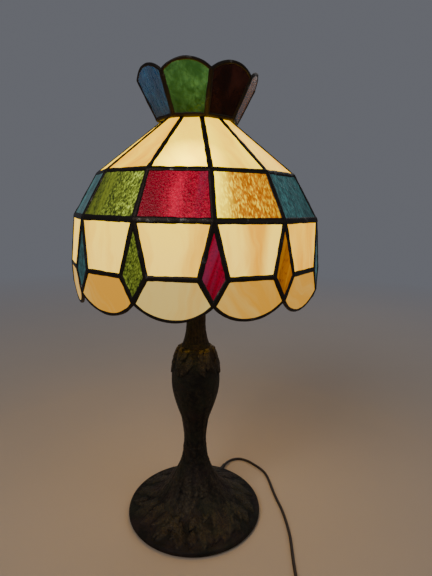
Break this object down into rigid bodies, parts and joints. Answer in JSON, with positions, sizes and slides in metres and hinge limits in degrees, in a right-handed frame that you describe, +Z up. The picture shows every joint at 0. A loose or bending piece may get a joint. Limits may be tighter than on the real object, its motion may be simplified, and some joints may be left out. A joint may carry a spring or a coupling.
{
  "type": "leaded glass table lamp",
  "caption": "Table lamp with a faceted, scalloped leaded-glass shade and flared glass crown, on a turned cast stem and round foot, with harp, socket, bulb and cord.",
  "frame": {"origin": "centre of the felt pad's underside, on the lamp's axis", "axes": "+Z up along the stem, -Y to the front, +X to the right"},
  "size_m": [0.3336, 0.3975, 0.6345],
  "materials": {
    "bronze_patina": "dark brown bronze patina on a cast spelter body, satin",
    "lead": "dark patina on leaded seams, semi-gloss with bright worn spots",
    "brass": "aged brass, satin",
    "steel": "plain zinc-plated",
    "aluminium": "spun, bright",
    "cream_glass": "cream opalescent sheet glass with tan streaks",
    "teal_glass": "teal cathedral glass, rippled",
    "green_glass": "olive green cathedral glass, granite texture",
    "red_glass": "ruby cathedral glass, granite texture",
    "amber_glass": "amber cathedral glass, rippled",
    "crown_glass": "cathedral glass in blue, green, ruby and amber, unlit",
    "bulb_glass": "soft white inside frosting, lit",
    "black_plastic": "moulded phenolic",
    "cord_plastic": "dark brown PVC",
    "felt": "pressed wool felt"
  },
  "bodies": {
    "root": {"base_casting": "bronze_patina", "check_ring": "brass", "cord_bushing": "cord_plastic", "cord_coil": "cord_plastic", "cord_run": "cord_plastic", "cord_tail": "cord_plastic", "cord_tie": "black_plastic", "felt_pad": "felt", "harp_saddle": "brass", "inner_cord": "cord_plastic", "lower_nut": "steel", "plug_blade_left": "brass", "plug_blade_right": "brass", "plug_body": "cord_plastic", "screw_shell": "aluminium", "socket_cap": "brass", "socket_core": "black_plastic", "socket_shell": "brass", "stem_neck": "bronze_patina", "stem_vase": "bronze_patina", "threaded_pipe": "steel"},
    "shade": {"band_glass_01_red": "red_glass", "band_glass_02_amber": "amber_glass", "band_glass_03_teal": "teal_glass", "band_glass_04_green": "green_glass", "band_glass_05_red": "red_glass", "band_glass_06_amber": "amber_glass", "band_glass_07_teal": "teal_glass", "band_glass_08_green": "green_glass", "band_glass_09_red": "red_glass", "band_glass_10_amber": "amber_glass", "band_glass_11_teal": "teal_glass", "band_glass_12_green": "green_glass", "cone_glass_01": "cream_glass", "cone_glass_02": "cream_glass", "cone_glass_03": "cream_glass", "cone_glass_04": "cream_glass", "cone_glass_05": "cream_glass", "cone_glass_06": "cream_glass", "cone_glass_07": "cream_glass", "cone_glass_08": "cream_glass", "cone_glass_09": "cream_glass", "cone_glass_10": "cream_glass", "cone_glass_11": "cream_glass", "cone_glass_12": "cream_glass", "crown_glass": "crown_glass", "crown_lead": "lead", "shade_lead": "lead", "skirt_glass": "cream_glass", "skirt_lead": "lead", "vase_cap": "brass"},
    "harp": {"harp_bow": "brass"},
    "sleeve_left": {"harp_sleeve_left": "brass"},
    "sleeve_right": {"harp_sleeve_right": "brass"},
    "finial_nut": {"finial_insert": "brass"},
    "finial": {"finial_knob": "bronze_patina"},
    "switch": {"switch_knob": "black_plastic"},
    "bulb_foot": {"bulb_contact": "aluminium"},
    "bulb": {"bulb_cap": "aluminium", "bulb_globe": "bulb_glass"}
  },
  "joints": [
    {"name": "harp_lift", "type": "slide", "parent": "root", "child": "harp", "axis": [0, 0, 1], "range_m": [0, 0.02]},
    {"name": "sleeve_left_lift", "type": "slide", "parent": "harp", "child": "sleeve_left", "axis": [0, 0, 1], "range_m": [0, 0.014]},
    {"name": "sleeve_right_lift", "type": "slide", "parent": "harp", "child": "sleeve_right", "axis": [0, 0, 1], "range_m": [0, 0.014]},
    {"name": "shade_turn", "type": "hinge", "parent": "harp", "child": "shade", "pos_m": [0, 0, 0.58], "axis": [0, 0, 1], "continuous": true},
    {"name": "finial_lift", "type": "slide", "parent": "harp", "child": "finial_nut", "axis": [0, 0, 1], "range_m": [0, 0.0075]},
    {"name": "finial_turn", "type": "hinge", "parent": "finial_nut", "child": "finial", "pos_m": [0, 0, 0.59], "axis": [0, 0, 1], "range_deg": [0, 2880]},
    {"name": "switch_turn", "type": "hinge", "parent": "root", "child": "switch", "pos_m": [0, -0.025, 0.3889], "axis": [0, -1, 0], "continuous": true},
    {"name": "bulb_lift", "type": "slide", "parent": "root", "child": "bulb_foot", "axis": [0, 0, 1], "range_m": [0, 0.0235]},
    {"name": "bulb_turn", "type": "hinge", "parent": "bulb_foot", "child": "bulb", "pos_m": [0, 0, 0.41], "axis": [0, 0, 1], "range_deg": [0, 2340]}
  ],
  "couplings": [
    {"joint": "bulb_turn", "follows": "bulb_lift", "rad_per_m": 1731.6},
    {"joint": "finial_turn", "follows": "finial_lift", "rad_per_m": 6679}
  ]
}
